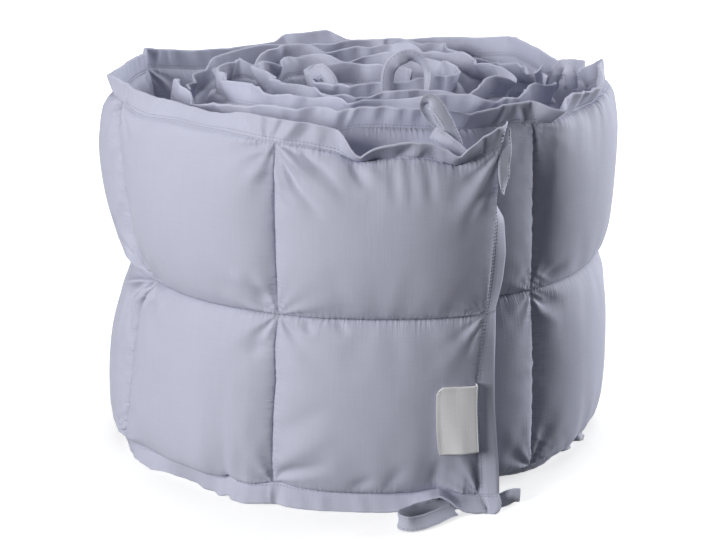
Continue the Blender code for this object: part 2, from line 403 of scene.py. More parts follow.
# Cross seams that don't run straight up: how far each is drawn towards the outer end at each height, and how far
# beside it the cloth goes along, in millimetres
SEAM_DRIFTS = (
    {"seam": 1, "reach": 55, "line": ((0, -9), (20, -8), (75, -4.5), (100, -2), (127, -2.5), (150, 0), (297, 0))},
    {"seam": 2, "reach": 65, "line": ((0, 0), (50, 8), (100, 13), (128, 18), (141, 28), (150, 38), (160, 28),
                                      (180, 17), (240, 7), (297, 0))},
    {"seam": 7, "reach": 60, "line": ((0, -3), (100, -4), (150, -6), (220, -8.5), (297, -10))},
)

seams = np.concatenate([[END_FLANGE], END_FLANGE + FIRST_POCKET + POCKET * np.arange(POCKETS)])


def bell(x, middle, reach):
    """1 at middle, falling to nothing in a few reaches on either side."""
    return np.exp(-(((x - middle) / reach) ** 2))


# Small random kinks of the inner turns' top, calmer round one place that is seen end-on
KINKS = {"from": 1.30, "spacing": 0.015, "height": 0.0020, "push": 0.0019, "lean": 18, "calm": (1.67, 0.11)}


def kinked(s, amount, seed):
    """Straight pieces between random values of up to that amount, KINKS' spacing apart, beyond its start."""
    knots = np.arange(0, 3.8, KINKS["spacing"])
    values = np.random.default_rng(seed).uniform(-amount, amount, len(knots)) * (knots > KINKS["from"])
    values = values * (1 - 0.85 * bell(knots, *KINKS["calm"]))
    return np.interp(s, knots, values)


def middle_line():
    """Places and bearings along the rolled strip, every FINE_STEP, seen from above.

    A plain spiral's radius at length s is sqrt(R^2 - pitch * s / pi). The bearing turns by s / radius, a share of
    it gathered in a bell curve at each cross seam, and the place is the running sum of the steps.
    """
    along = np.arange(0, STRIP_LENGTH + FINE_STEP, FINE_STEP)
    radius = np.sqrt(np.maximum(OUTER_RADIUS**2 - TURN_PITCH * along / np.pi, CORE_RADIUS**2))
    at_seams = np.exp(-(((along[:, None] - seams) / HINGE_WIDTH) ** 2) / 2).sum(axis=1)
    at_seams *= POCKET / (HINGE_WIDTH * np.sqrt(2 * np.pi))
    share = HINGE_SHARE * (radius / OUTER_RADIUS) ** 2
    bend = (1 - share + share * at_seams) / radius
    lead_in = np.arctan2(TURN_PITCH / (2 * np.pi), OUTER_RADIUS)
    bearing = np.radians(END_ANGLE) + lead_in - np.cumsum(bend) * FINE_STEP
    steps = np.stack([-np.cos(bearing), -np.sin(bearing)], axis=1) * FINE_STEP
    end = np.radians(END_ANGLE)
    start = OUTER_RADIUS * np.array([np.sin(end), -np.cos(end)])
    return along, start + np.cumsum(steps, axis=0), bearing


ALONG, PLACE, BEARING = middle_line()


def at_length(s):
    """The middle line's place and outward direction at length s, stretched a little along the roll's long axis.

    Past the outer end (s below 0) the line runs straight on.
    """
    place = np.stack([np.interp(s, ALONG, PLACE[:, i]) for i in (0, 1)], axis=-1)
    bearing = np.interp(s, ALONG, BEARING)
    outward = np.stack([np.sin(bearing), -np.cos(bearing)], axis=-1)
    onward = np.stack([-np.cos(bearing), -np.sin(bearing)], axis=-1)
    place = place + onward * np.minimum(s, 0)[..., None]
    long_axis = np.array([np.sin(np.radians(OVAL_ANGLE)), -np.cos(np.radians(OVAL_ANGLE))])
    stretch = np.eye(2) * (1 - OVAL) + 2 * OVAL * np.outer(long_axis, long_axis)
    return place @ stretch + np.array(PLAN_SHIFT), outward


def line_value(s, line, column):
    """The line's values of one column along s: straight from row to row, averaged over a few millimetres."""
    table = np.array(line) * (0.001, 0.001, 0.001, 1)
    nearby = [np.interp(s + d * FOLD_ROUNDING, table[:, 0], table[:, column]) for d in (-1.0, -0.5, 0, 0.5, 1.0)]
    return sum(nearby) / len(nearby)


def outermost(s):
    """1 at the outer end, falling to 0 one turn in."""
    return np.clip(1 - s / (2 * np.pi * OUTER_RADIUS), 0, 1)


def on_strip(s, z, stand_out):
    """The point of the rolled strip at length s and height z up the cloth, stand_out from its middle layer.

    Between the top and bottom seams the cloth stands upright. The flanges beyond them lean over, so a point w
    past the seam is w sin(lean) further out and w cos(lean) higher or lower. At the outer end the line runs on
    at an angle that grows towards the foot, where the whole end hangs askew.
    """
    s, z, stand_out = np.broadcast_arrays(np.asarray(s, float), np.asarray(z, float), np.asarray(stand_out, float))
    high = np.clip((z - MIDDLE_SEAM) / (TOP_SEAM - MIDDLE_SEAM), 0, 1)
    past_seam = np.clip(END_FLANGE - s, 0, None) * (1 - 0.45 * np.exp(-z / 0.005))
    heights, curls = np.array(END_CURL).T
    curl = np.radians(np.interp(z, heights / 1000, curls))
    askew = (END_ASKEW * (1 - z / STRIP_HEIGHT) + LABEL_PULL * bell(z, 0.098, 0.056)) * bell(s, 0, ASKEW_REACH)
    drift = 0
    for row in SEAM_DRIFTS:
        drawn = np.interp(z, *(np.array(row["line"]).T / 1000))
        drift = drift + drawn * bell(s, seams[row["seam"]], row["reach"] / 1000)
    place, outward = at_length(np.maximum(s, END_FLANGE) + askew - drift - past_seam * np.cos(curl))
    shift = outermost(s) * (TOP_SPREAD * high) + past_seam * np.sin(curl)
    pushed = line_value(s, TOP_LINE, 2) + kinked(s, KINKS["push"], 5)
    shift = shift + pushed * np.exp(-np.clip(TOP_SEAM - z, 0, None) / PUSH_DEPTH)
    shift = shift + line_value(s, FOOT_LINE, 2) * np.exp(-np.clip(z - FOOT_FLANGE, 0, None) / PUSH_DEPTH)
    waist_at, waist_push, waist_rise = np.array(WAIST_LINE).T / 1000
    shift = shift + np.interp(s, waist_at, waist_push) * bell(z, MIDDLE_SEAM, WAIST_REACH)
    middle = MIDDLE_SEAM + np.interp(s, waist_at, waist_rise)

    above = np.clip(z - TOP_SEAM, 0, None)
    below = np.clip(FOOT_FLANGE - z, 0, None)
    lean = np.radians(line_value(s, TOP_LINE, 3) + kinked(s, KINKS["lean"], 3)) * (above > 0)
    splay = np.radians(line_value(s, FOOT_LINE, 3)) * (below > 0)
    foot_seam = line_value(s, FOOT_LINE, 1)
    top_seam = line_value(s, TOP_LINE, 1) + kinked(s, KINKS["height"], 4)
    lower = foot_seam + (z - FOOT_FLANGE) * (middle - foot_seam) / (MIDDLE_SEAM - FOOT_FLANGE)
    upper = middle + (z - MIDDLE_SEAM) * (top_seam - middle) / (TOP_SEAM - MIDDLE_SEAM)
    height = np.where(z < MIDDLE_SEAM, lower, upper)
    height = np.where(above > 0, top_seam + above * np.cos(lean) - stand_out * np.sin(lean), height)
    height = np.where(below > 0, foot_seam - below * np.cos(splay) + stand_out * np.sin(splay), height)
    offset = stand_out * np.cos(lean) * np.cos(splay) + shift + above * np.sin(lean) + below * np.sin(splay)
    return np.concatenate([place + outward * offset[..., None], np.maximum(height, 0)[..., None]], axis=-1)


def dome(u, power=DOME_POWER):
    """0 at the seams (u = 0 and 1) and 1 in the middle, steep at the seams like a filled pocket."""
    return (1 - np.abs(2 * np.clip(u, 0, 1) - 1) ** 2.6) ** power


def pockets_in(s):
    """How many pockets in from the outer end seam s lies."""
    past_first = s - END_FLANGE - FIRST_POCKET
    return np.where(past_first < 0, past_first / FIRST_POCKET, past_first / POCKET) + 1


def rows_up(z):
    """How many rows of pockets up from the bottom seam z lies."""
    in_lower = (z - FOOT_FLANGE) / (MIDDLE_SEAM - FOOT_FLANGE)
    in_upper = (z - MIDDLE_SEAM) / (TOP_SEAM - MIDDLE_SEAM)
    return np.where(z < MIDDLE_SEAM, in_lower, 1 + in_upper)


# The wrinkles come from a flat piece of the same quilting, its seams held and its cloth cut with some to spare,
# blown up from below. What is left when the smooth part is taken off is laid over the pockets.
SAMPLE_POCKETS = 3
SAMPLE_STEP = 0.0025
SAMPLE_SPARE = 0.05
SAMPLE_PRESSURE = 10
SAMPLE_FRAMES = 20


def blown_quilting():
    """The blown-up sample as [pocket, row, across, up, (along, up, out)]: how far each point moved, in metres."""
    across = round(POCKET / SAMPLE_STEP)
    up = round((MIDDLE_SEAM - FOOT_FLANGE) / SAMPLE_STEP)
    columns, rows = SAMPLE_POCKETS * across + 1, 2 * up + 1
    x = np.linspace(0, SAMPLE_POCKETS * POCKET, columns)
    y = np.linspace(0, 2 * (MIDDLE_SEAM - FOOT_FLANGE), rows)
    held = np.zeros((columns, rows), bool)
    held[::across] = True
    held[:, ::up] = True
    start = np.zeros((columns, rows, 3))
    start[..., 0], start[..., 1] = np.meshgrid(x, y, indexing="ij")
    start[..., 2] = np.where(held, 0, 0.0015 + np.random.default_rng(7).normal(0, 0.0003, (columns, rows)))
    index = np.arange(columns * rows).reshape(columns, rows)
    quads = np.stack([index[:-1, :-1], index[1:, :-1], index[1:, 1:], index[:-1, 1:]], axis=-1).reshape(-1, 4)
    mesh = bpy.data.meshes.new("sample")
    mesh.from_pydata(start.reshape(-1, 3).tolist(), [], quads.tolist())
    sample = bpy.data.objects.new("sample", mesh)
    bpy.context.scene.collection.objects.link(sample)
    group = sample.vertex_groups.new(name="seams")
    group.add(np.flatnonzero(held.ravel()).tolist(), 1.0, "REPLACE")
    cloth = sample.modifiers.new("cloth", "CLOTH")
    settings = cloth.settings
    settings.quality = 5
    settings.mass = 0.12
    settings.bending_stiffness = 0.3
    settings.use_pressure = True
    settings.uniform_pressure_force = SAMPLE_PRESSURE
    settings.effector_weights.gravity = 0
    settings.vertex_group_mass = "seams"
    settings.shrink_min = settings.shrink_max = -SAMPLE_SPARE
    cloth.point_cache.frame_end = SAMPLE_FRAMES
    for number in range(1, SAMPLE_FRAMES + 1):
        bpy.context.scene.frame_set(number)
    blown = sample.evaluated_get(bpy.context.evaluated_depsgraph_get()).to_mesh()
    end = np.empty(columns * rows * 3)
    blown.vertices.foreach_get("co", end)
    bpy.data.objects.remove(sample)
    bpy.context.scene.frame_set(1)
    start[..., 2] = 0
    moved = end.reshape(columns, rows, 3) - start
    cells = [
        [moved[p * across : (p + 1) * across + 1, r * up : (r + 1) * up + 1] for r in (0, 1)]
        for p in range(SAMPLE_POCKETS)
    ]
    return np.array(cells)


def softened(field, passes):
    """The field averaged with its neighbours along its third and fourth axes, its edges kept as they are."""
    out = field.copy()
    for _ in range(passes):
        inner = out[:, :, 1:-1, 1:-1] * 2
        inner = inner + out[:, :, :-2, 1:-1] + out[:, :, 2:, 1:-1] + out[:, :, 1:-1, :-2] + out[:, :, 1:-1, 2:]
        out[:, :, 1:-1, 1:-1] = inner / 6
    return out


SAMPLE = softened(blown_quilting(), 3)
SAMPLE_FOLDS = SAMPLE - softened(SAMPLE, 60)


def sampled(pocket, row, u, v, turned):
    """The sample's folds at share u across and v up a pocket, by a smooth cubic through its grid."""
    nu, nv = SAMPLE_FOLDS.shape[2] - 1, SAMPLE_FOLDS.shape[3] - 1
    x = np.clip(np.where(turned, 1 - u, u) * nu, 0, nu - 1e-6)
    y = np.clip(v * nv, 0, nv - 1e-6)
    i, j = x.astype(int), y.astype(int)
    tx, ty = x - i, y - j

    def weights(t):
        return (
            -0.5 * t + t**2 - 0.5 * t**3,
            1 - 2.5 * t**2 + 1.5 * t**3,
            0.5 * t + 2 * t**2 - 1.5 * t**3,
            -0.5 * t**2 + 0.5 * t**3,
        )

    total = 0
    for a, wa in enumerate(weights(tx)):
        for b, wb in enumerate(weights(ty)):
            near = SAMPLE_FOLDS[pocket, row, np.clip(i + a - 1, 0, nu), np.clip(j + b - 1, 0, nv)]
            total = total + near * (wa * wb)[..., None]
    return total * np.where(turned[..., None], np.array([-1, 1, 1]), 1)


# Folds pressed into the pockets by hand and by the winding: ends of each as (along, height), width, and depth
# (negative is a trough)
PLACED_FOLDS = (
    {"from": (0.172, 0.277), "to": (0.154, 0.246), "width": 0.0020, "depth": -0.0030},
    {"from": (0.168, 0.278), "to": (0.146, 0.256), "width": 0.0018, "depth": 0.0022},
    {"from": (0.158, 0.279), "to": (0.140, 0.262), "width": 0.0018, "depth": -0.0020},
    {"from": (0.173, 0.262), "to": (0.160, 0.236), "width": 0.0018, "depth": 0.0020},
    {"from": (0.170, 0.268), "to": (0.138, 0.232), "width": 0.0030, "depth": -0.0034},
    {"from": (0.163, 0.272), "to": (0.128, 0.246), "width": 0.0030, "depth": 0.0020},
    {"from": (0.150, 0.275), "to": (0.124, 0.252), "width": 0.0026, "depth": -0.0018},
    {"from": (0.172, 0.256), "to": (0.148, 0.228), "width": 0.0032, "depth": 0.0016},
    {"from": (0.178, 0.270), "to": (0.196, 0.262), "width": 0.0030, "depth": -0.0022},
    {"from": (0.178, 0.262), "to": (0.192, 0.250), "width": 0.0028, "depth": 0.0014},
    {"from": (0.120, 0.276), "to": (0.108, 0.258), "width": 0.0026, "depth": -0.0022},
    {"from": (0.110, 0.276), "to": (0.101, 0.262), "width": 0.0024, "depth": 0.0014},
    {"from": (0.341, 0.148), "to": (0.338, 0.120), "width": 0.0024, "depth": -0.0046},
    {"from": (0.345, 0.148), "to": (0.350, 0.118), "width": 0.0028, "depth": 0.0034},
    {"from": (0.347, 0.147), "to": (0.362, 0.122), "width": 0.0024, "depth": -0.0036},
    {"from": (0.350, 0.148), "to": (0.374, 0.132), "width": 0.0026, "depth": 0.0026},
    {"from": (0.352, 0.128), "to": (0.346, 0.096), "width": 0.0026, "depth": -0.0022},
    {"from": (0.362, 0.120), "to": (0.360, 0.070), "width": 0.0030, "depth": 0.0020},
    {"from": (0.356, 0.100), "to": (0.372, 0.060), "width": 0.0028, "depth": -0.0020},
    {"from": (0.334, 0.146), "to": (0.322, 0.130), "width": 0.0030, "depth": -0.0018},
    {"from": (0.344, 0.155), "to": (0.362, 0.176), "width": 0.0030, "depth": -0.0030},
    {"from": (0.350, 0.156), "to": (0.368, 0.166), "width": 0.0024, "depth": 0.0022},
    {"from": (0.346, 0.268), "to": (0.356, 0.240), "width": 0.0026, "depth": 0.0026},
    {"from": (0.352, 0.262), "to": (0.372, 0.240), "width": 0.0024, "depth": -0.0024},
    {"from": (0.347, 0.236), "to": (0.362, 0.206), "width": 0.0026, "depth": -0.0022},
    {"from": (0.345, 0.214), "to": (0.358, 0.184), "width": 0.0028, "depth": 0.0022},
    {"from": (0.352, 0.196), "to": (0.372, 0.176), "width": 0.0026, "depth": -0.0018},
    {"from": (0.172, 0.024), "to": (0.130, 0.046), "width": 0.0045, "depth": -0.0030},
    {"from": (0.170, 0.034), "to": (0.128, 0.070), "width": 0.0060, "depth": 0.0016},
    {"from": (0.168, 0.060), "to": (0.132, 0.088), "width": 0.0060, "depth": -0.0014},
    {"from": (0.116, 0.024), "to": (0.100, 0.036), "width": 0.0040, "depth": -0.0016},
    {"from": (0.092, 0.024), "to": (0.078, 0.044), "width": 0.0045, "depth": -0.0016},
    {"from": (0.056, 0.024), "to": (0.050, 0.046), "width": 0.0045, "depth": -0.0012},
    {"from": (0.093, 0.276), "to": (0.090, 0.245), "width": 0.0028, "depth": -0.0022},
    {"from": (0.081, 0.276), "to": (0.079, 0.242), "width": 0.0030, "depth": -0.0018},
    {"from": (0.068, 0.276), "to": (0.066, 0.245), "width": 0.0028, "depth": -0.0015},
    {"from": (0.022, 0.274), "to": (0.050, 0.232), "width": 0.0070, "depth": 0.0022},
    {"from": (0.020, 0.262), "to": (0.040, 0.215), "width": 0.0060, "depth": -0.0018},
    {"from": (0.154, 0.147), "to": (0.146, 0.136), "width": 0.0030, "depth": -0.0020},
    {"from": (0.130, 0.147), "to": (0.122, 0.137), "width": 0.0030, "depth": -0.0016},
    {"from": (0.178, 0.156), "to": (0.196, 0.182), "width": 0.0055, "depth": -0.0035},
    {"from": (0.180, 0.170), "to": (0.206, 0.182), "width": 0.0050, "depth": 0.0018},
    {"from": (0.180, 0.128), "to": (0.194, 0.118), "width": 0.0045, "depth": -0.0022},
    {"from": (1.164, 0.146), "to": (1.130, 0.132), "width": 0.0050, "depth": -0.0030},
    {"from": (1.164, 0.142), "to": (1.136, 0.118), "width": 0.0045, "depth": 0.0018},
    {"from": (1.162, 0.154), "to": (1.128, 0.168), "width": 0.0050, "depth": -0.0022},
)


# The same in the flange above the top seam
FLANGE_FOLDS = (
    {"from": (0.177, 0.279), "to": (0.165, 0.305), "width": 0.0024, "depth": -0.0018},
    {"from": (0.171, 0.279), "to": (0.155, 0.302), "width": 0.0030, "depth": 0.0020},
    {"from": (0.162, 0.278), "to": (0.146, 0.300), "width": 0.0024, "depth": -0.0010},
    {"from": (0.183, 0.279), "to": (0.188, 0.306), "width": 0.0022, "depth": 0.0018},
    {"from": (0.196, 0.278), "to": (0.204, 0.306), "width": 0.0020, "depth": -0.0016},
    {"from": (0.213, 0.279), "to": (0.219, 0.304), "width": 0.0026, "depth": 0.0010},
    {"from": (0.148, 0.278), "to": (0.137, 0.300), "width": 0.0026, "depth": 0.0010},
    {"from": (0.090, 0.278), "to": (0.076, 0.302), "width": 0.0024, "depth": -0.0022},
    {"from": (0.080, 0.278), "to": (0.067, 0.300), "width": 0.0024, "depth": 0.0020},
    {"from": (0.062, 0.278), "to": (0.066, 0.300), "width": 0.0020, "depth": -0.0014},
    {"from": (0.024, 0.276), "to": (0.032, 0.304), "width": 0.0024, "depth": -0.0016},
    {"from": (0.338, 0.278), "to": (0.328, 0.306), "width": 0.0022, "depth": -0.0024},
    {"from": (0.331, 0.278), "to": (0.320, 0.304), "width": 0.0022, "depth": 0.0016},
    {"from": (0.348, 0.278), "to": (0.354, 0.306), "width": 0.0022, "depth": -0.0022},
    {"from": (0.262, 0.279), "to": (0.268, 0.304), "width": 0.0020, "depth": -0.0012},
    {"from": (0.296, 0.279), "to": (0.290, 0.304), "width": 0.0022, "depth": 0.0014},
    {"from": (1.060, 0.278), "to": (1.066, 0.304), "width": 0.0026, "depth": -0.0020},
    {"from": (1.086, 0.278), "to": (1.090, 0.304), "width": 0.0024, "depth": 0.0018},
    {"from": (1.108, 0.278), "to": (1.112, 0.304), "width": 0.0024, "depth": -0.0018},
    {"from": (1.168, 0.278), "to": (1.180, 0.302), "width": 0.0022, "depth": 0.0018},
    {"from": (1.196, 0.278), "to": (1.190, 0.302), "width": 0.0026, "depth": -0.0016},
)


def placed_folds(s, z, folds):
    """Each fold is a bell curve across its line, full in the middle of its length and nothing at the ends."""
    total = np.zeros(np.broadcast(s, z).shape)
    for row in folds:
        start, end = np.array(row["from"]), np.array(row["to"])
        length = np.linalg.norm(end - start)
        ahead = (end - start) / length
        along = ((s - start[0]) * ahead[0] + (z - start[1]) * ahead[1]) / length
        beside = (s - start[0]) * ahead[1] - (z - start[1]) * ahead[0]
        taper = np.sin(np.pi * np.clip(along * 0.85 + 0.15, 0, 1))
        total += row["depth"] * taper * bell(beside, 0, row["width"])
    return total


def ripples(x, seed, lengths):
    """A sum of waves of the given lengths with random phases and strengths, about -1 to 1."""
    rng = np.random.default_rng(seed)
    total = 0
    for length in lengths:
        phase, strength = rng.uniform(0, 2 * np.pi), rng.uniform(0.6, 1.0)
        total = total + strength * np.sin(2 * np.pi * x / length + phase)
    return total / len(lengths)


FOLD_STRENGTH = 0.32
FAN_DEPTH = 0.0019
FAN_REACH = 0.013
FAN_COUNTS = (5, 8, 13)
WAIST_FANS = (0.8, 0.85, 1.5)  # their strengths where the first three cross seams meet the middle one
PUCKER_DEPTH = 0.0007
PUCKER_REACH = 0.007
TOOTH_DEPTH = 0.0010
TOOTH_REACH = 0.010
CRUMPLED_SEAMS = ((0.342, 0.026, 4.2), (1.160, 0.018, 2.2))  # place, reach and how much more than the others
GATHER_DEPTH = 0.0016
GATHER_REACH = 0.010
# Where the cloth is gathered into the top seam: middle and reach along the strip, and how strongly
GATHERS = (
    (0.075, 0.022, 0.9),
    (0.350, 0.018, 0.8),
    (0.500, 0.020, 0.6),
    (0.680, 0.030, 0.5),
    (0.880, 0.030, 0.6),
    (0.985, 0.020, 0.7),
    (1.080, 0.030, 1.9),
    (1.165, 0.015, 0.6),
)
RIPPLE_DEPTH = 0.0011
CREASE_DEPTH = 0.0010
CREASE_WIDTH = 0.0016
CREASE_SPACING = 0.021
TURN_LENGTH = 1.25  # the outermost turn, whose flange lies flatter than the others


def corner_fans(s, z, side):
    """Creases that spread like the ribs of a fan from each place where two seams cross.

    They are waves in the angle round the crossing, 0 at the crossing, deepest FAN_REACH away and gone in 5 of those.
    """
    nearest = np.clip(np.round(pockets_in(s)), 0, POCKETS).astype(int)
    rng = np.random.default_rng(90 + side)
    phases = rng.uniform(0, 2 * np.pi, (3, POCKETS + 1, 3))
    strengths = rng.uniform(0.35, 1.0, (3, POCKETS + 1))
    strengths[1, :3] = WAIST_FANS
    total = 0
    for level, height in enumerate((FOOT_FLANGE, MIDDLE_SEAM, TOP_SEAM)):
        x, y = s - seams[nearest], z - height
        r = np.hypot(x, y) / FAN_REACH
        angle = np.arctan2(y, x)
        waves = sum(np.sin(n * angle + phases[level, nearest, k]) for k, n in enumerate(FAN_COUNTS)) / 3
        total = total + strengths[level, nearest] * waves * r * np.exp(1 - r)
    return FAN_DEPTH * total


def flange_ripples(s, w, seed):
    """How far a flange bows out of its plane w beyond its seam: soft waves, and a sharp crease now and then.

    The creases lie at one random place in each CREASE_SPACING, slant a little and grow towards the hem.
    """
    waves = RIPPLE_DEPTH * ripples(s + 0.25 * w, seed, (0.0135, 0.023, 0.041))
    slot = np.floor(s / CREASE_SPACING)
    rng = np.random.default_rng(seed)
    places = rng.uniform(0.2, 0.8, 400)
    slants = rng.uniform(-0.5, 0.5, 400)
    depths = rng.uniform(-1, 1, 400)
    k = np.clip(slot, 0, 399).astype(int)
    middle = (k + places[k]) * CREASE_SPACING + slants[k] * w
    return (waves + CREASE_DEPTH * depths[k] * bell(s, middle, CREASE_WIDTH)) * np.clip(w / 0.012, 0, 1)


def cloth_face(s, z, side):
    """The outer (side +1) or inner (-1) face of the strip, at each pair of s and z.

    It stands out by half the seam's thickness and the pocket's dome, with the sampled folds, the placed folds
    and the fine puckers beside each seam on top.
    """
    s, z = np.broadcast_arrays(np.asarray(s, float), np.asarray(z, float))
    across, up = pockets_in(s), rows_up(z)
    inside = (across > 0) & (across < POCKETS) & (up > 0) & (up < 2)
    pocket = np.clip(np.floor(across), 0, POCKETS - 1).astype(int)
    row = np.clip(np.floor(up), 0, 1).astype(int)
    u, v = np.clip(across - pocket, 0, 1), np.clip(up - row, 0, 1)
    slack = np.isin(np.floor(across * 2), SLACK_HALVES)
    filled_across = np.where(slack, dome(u, SLACK_DOME_POWER), dome(u))
    full = np.where(inside, filled_across * dome(np.where(row == 0, v**SAG, v)), 0)
    swell = INNER_SWELL if side < 0 else OUTER_SWELL + UPPER_SWELL * outermost(s) * (z > MIDDLE_SEAM)
    width = np.where(pocket == 0, FIRST_POCKET, POCKET)
    to_cross = np.minimum(u, 1 - u) * width
    to_level = np.minimum(v, 1 - v) * (MIDDLE_SEAM - FOOT_FLANGE)
    shift = 0 if side > 0 else 1
    moved = sampled((pocket + shift) % SAMPLE_POCKETS, row, u, v, ((pocket // SAMPLE_POCKETS + shift) % 2 == 1))
    moved = moved * inside[..., None] * FOLD_STRENGTH
    calm = ripples(s + 2.3 * z, 5 + side, (0.031, 0.047, 0.083)) * 0.5 + 0.5
    level_puckers = ripples(s, 11 + side, (0.0048, 0.0071, 0.0113)) * np.exp(-to_level / PUCKER_REACH)
    cross_puckers = ripples(z + 0.37 * pocket, 23 + side, (0.0043, 0.0067, 0.0107))
    cross_puckers = cross_puckers * np.exp(-to_cross / PUCKER_REACH)
    rise = (1 - np.exp(-to_level / 0.002)) * (1 - np.exp(-to_cross / 0.002))
    puckers = PUCKER_DEPTH * calm * (level_puckers + cross_puckers) * rise * inside
    teeth = ripples(z + 0.6 * to_cross + 0.37 * pocket, 27 + side, (0.0059, 0.0083, 0.0137))
    calmer = ripples(z + 0.61 * pocket, 37 + side, (0.035, 0.061)) * 0.5 + 0.5
    crumpled = 1 + sum(more * bell(s, middle, reach) for middle, reach, more in CRUMPLED_SEAMS)
    puckers = puckers + TOOTH_DEPTH * crumpled * calmer * teeth * np.exp(-to_cross / TOOTH_REACH) * rise * inside
    puckers = puckers + corner_fans(s, z, side) * rise * inside
    gathered = sum(strength * bell(s, middle, reach) for middle, reach, strength in GATHERS)
    below_seam = np.clip(TOP_SEAM - z, 0, None)
    fan = ripples(s - 0.25 * below_seam, 31 + side, (0.0083, 0.0127)) * np.exp(-below_seam / GATHER_REACH)
    puckers = puckers + GATHER_DEPTH * gathered * fan * rise * inside
    bow = flange_ripples(s, np.clip(z - TOP_SEAM, 0, None), 71) * (1 + 0.9 * (s > TURN_LENGTH))
    bow = bow + flange_ripples(s, np.clip(FOOT_FLANGE - z, 0, None), 72)
    bow = bow + placed_folds(s, z, FLANGE_FOLDS) * np.clip((z - TOP_SEAM) / 0.005, 0, 1)
    bow = bow * (1 - 0.85 * bell(s, *KINKS["calm"]))
    rim = np.where((z < FOOT_FLANGE) | (z > TOP_SEAM) | (s < END_FLANGE), FLANGE_HALF, SEAM_HALF)
    stand_out = rim + swell * full + moved[..., 2] + puckers
    if side > 0:
        stand_out = stand_out + placed_folds(s, z, PLACED_FOLDS) * np.minimum(full * 3, 1)
    edge = np.minimum(np.minimum(z, STRIP_HEIGHT - z), np.minimum(s, STRIP_LENGTH - s))
    rounded = np.sqrt(np.clip(1 - (1 - np.clip(edge / FLANGE_HALF, 0, 1)) ** 2, 0.02, 1))
    bulge = OVERHANG * (stand_out - rim) * inside
    below, above = v * (MIDDLE_SEAM - FOOT_FLANGE), (1 - v) * (MIDDLE_SEAM - FOOT_FLANGE)
    up_over = bulge * (np.exp(-above / OVERHANG_REACH) - np.exp(-below / OVERHANG_REACH))
    end_over = 1 + END_OVERHANG * (pocket == 0)
    side_over = np.exp(-(1 - u) * width / OVERHANG_REACH) - end_over * np.exp(-u * width / OVERHANG_REACH)
    side_over = bulge * side_over
    stand_out = side * np.maximum(stand_out, 0.0004) * rounded + bow
    points = on_strip(s + moved[..., 0] + side_over, z + moved[..., 1], stand_out)
    points[..., 2] = np.maximum(points[..., 2] + up_over, 0)
    return points


def spaced(start, end, count, gather):
    """count + 1 values from start to end, closer together at both ends the nearer gather is to 1."""
    t = np.linspace(0, 1, count + 1)
    return start + (end - start) * (t - gather * np.sin(2 * np.pi * t) / (2 * np.pi))


def closed_tube(name, loops, uv):
    """A closed surface from like loops of points, one after another, with a cap of quads on the first and last.

    Each loop goes up one face and down the other, so point i on the way up faces point -1-i on the way down.
    """
    count, around = loops.shape[:2]
    index = np.arange(count * around).reshape(count, around)
    following = np.roll(index, -1, axis=1)
    sides = np.stack([index[:-1], following[:-1], following[1:], index[1:]], axis=-1).reshape(-1, 4)
    half_round = around // 2
    i = np.arange(half_round - 1)
    caps = [np.stack([r[i], r[i + 1], r[-2 - i], r[-1 - i]], axis=-1) for r in (index[0], index[-1])]
    faces = np.concatenate([sides, caps[0][:, ::-1], caps[1]])
    mesh = bpy.data.meshes.new(name)
    mesh.vertices.add(count * around)
    mesh.vertices.foreach_set("co", loops.astype(np.float32).ravel())
    mesh.loops.add(faces.size)
    mesh.loops.foreach_set("vertex_index", faces.astype(np.int32).ravel())
    mesh.polygons.add(len(faces))
    mesh.polygons.foreach_set("loop_start", np.arange(0, faces.size, 4, dtype=np.int32))
    mesh.update(calc_edges=True)
    mesh.polygons.foreach_set("use_smooth", np.ones(len(faces), bool))
    ends = np.zeros(len(mesh.edges) * 2, np.int32)
    mesh.edges.foreach_get("vertices", ends)
    ends = ends.reshape(-1, 2)
    sharp = mesh.attributes.new("sharp_edge", "BOOLEAN", "EDGE")
    sharp.data.foreach_set("value", (ends.max(axis=1) < around) | (ends.min(axis=1) >= (count - 1) * around))
    layer = mesh.uv_layers.new(name="cloth")
    layer.data.foreach_set("uv", uv.reshape(-1, 2)[faces.ravel()].astype(np.float32).ravel())
    piece = bpy.data.objects.new(name, mesh)
    bpy.context.scene.collection.objects.link(piece)
    return piece


def strip_piece(name, first, last, columns, rows):
    """The pockets first to last of the strip as one closed piece, cut at the cross seams."""
    ends = seams[first : last + 1]
    stations = [spaced(a, b, columns, 0.62)[:-1] for a, b in zip(ends[:-1], ends[1:])]
    before = np.linspace(0, END_FLANGE, 11)[:-1] if first == 0 else np.zeros(0)
    after = np.linspace(ends[-1], STRIP_LENGTH, 8) if last == POCKETS else ends[-1:]
    s = np.concatenate([before, *stations, after])
    hem = FLANGE_HALF * (1 - np.cos(np.linspace(0, np.pi / 2, 4)))[:-1]
    foot = np.concatenate([hem, np.linspace(FLANGE_HALF, FOOT_FLANGE, 13)])
    top = np.concatenate([hem, np.linspace(FLANGE_HALF, STRIP_HEIGHT - TOP_SEAM, 13)])
    lower = spaced(FOOT_FLANGE, MIDDLE_SEAM, rows, 0.62)
    upper = spaced(MIDDLE_SEAM, TOP_SEAM, rows, 0.62)
    z = np.concatenate([foot[:-1], lower[:-1], upper[:-1], STRIP_HEIGHT - top[::-1]])
    outer = cloth_face(s[:, None], z[None, :], 1)
    inner = cloth_face(s[:, None], z[None, ::-1], -1)
    uv = np.zeros((len(s), 2 * len(z), 2))
    uv[..., 0] = s[:, None]
    uv[:, : len(z), 1] = z
    uv[:, len(z) :, 1] = 2 * STRIP_HEIGHT + 0.05 - z[::-1]
    return closed_tube(name, np.concatenate([outer, inner], axis=1), uv)


# The sateen: a fine close weave with a soft low sheen. Threads of uneven thickness show as faint streaks both
# ways, and the colour clouds very slightly.
SATEEN = (0.478, 0.492, 0.600)
SATEEN_ROUGHNESS = 0.62


